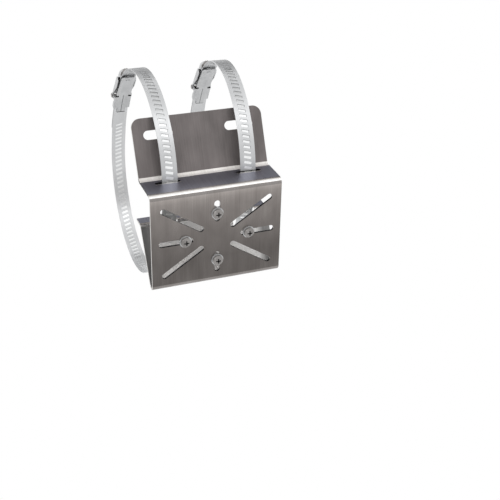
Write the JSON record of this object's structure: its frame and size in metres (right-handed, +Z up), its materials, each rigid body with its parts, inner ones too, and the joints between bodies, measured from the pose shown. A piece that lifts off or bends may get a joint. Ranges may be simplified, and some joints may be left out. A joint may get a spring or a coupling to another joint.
{
  "type": "camera mount bracket",
  "caption": "Folded stainless sheet bracket with radial camera slots, a leaning slotted flange, and quick-release worm band clamps that strap it to a pole.",
  "frame": {"origin": "middle of the camera slots, on the front surface of the face", "axes": "+X right along the plate and along the pole, +Y back towards the pole, +Z up; the camera goes on the -Y side"},
  "size_m": [0.12, 0.2221, 0.2152],
  "materials": {
    "sheet": "fine vertical grain stainless sheet, bright cut edges",
    "band": "satin stainless strip",
    "clamp": "bright pressed stainless",
    "fixings": "turned stainless fastener"
  },
  "bodies": {
    "bracket": {"mount_plate": "sheet", "band_left": "band", "band_right": "band", "saddle_left": "clamp", "saddle_right": "clamp", "hinge_pin_left": "fixings", "hinge_pin_right": "fixings", "camera_screw_top": "fixings", "camera_screw_bottom": "fixings", "camera_screw_left": "fixings", "camera_screw_right": "fixings", "washer_top": "fixings", "washer_bottom": "fixings", "washer_left": "fixings", "washer_right": "fixings", "nut_top": "fixings", "nut_bottom": "fixings", "nut_left": "fixings", "nut_right": "fixings"},
    "latch_left": {"screw_housing_left": "clamp"},
    "screw_left": {"worm_screw_left": "fixings"},
    "latch_right": {"screw_housing_right": "clamp"},
    "screw_right": {"worm_screw_right": "fixings"}
  },
  "joints": [
    {"name": "latch_left_swing", "type": "hinge", "parent": "bracket", "child": "latch_left", "pos_m": [-0.0347, 0.19148, 0.06894], "axis": [-1, 0, 0], "range_deg": [0, 60]},
    {"name": "worm_left_turn", "type": "hinge", "parent": "latch_left", "child": "screw_left", "pos_m": [-0.0347, 0.18041, 0.08455], "axis": [0, -0.6725, 0.7401], "continuous": true},
    {"name": "latch_right_swing", "type": "hinge", "parent": "bracket", "child": "latch_right", "pos_m": [0.04836, 0.19066, 0.06894], "axis": [-0.9978, 0.0656, 0], "range_deg": [0, 60]},
    {"name": "worm_right_turn", "type": "hinge", "parent": "latch_right", "child": "screw_right", "pos_m": [0.04763, 0.17961, 0.08455], "axis": [-0.0441, -0.671, 0.7401], "continuous": true}
  ]
}
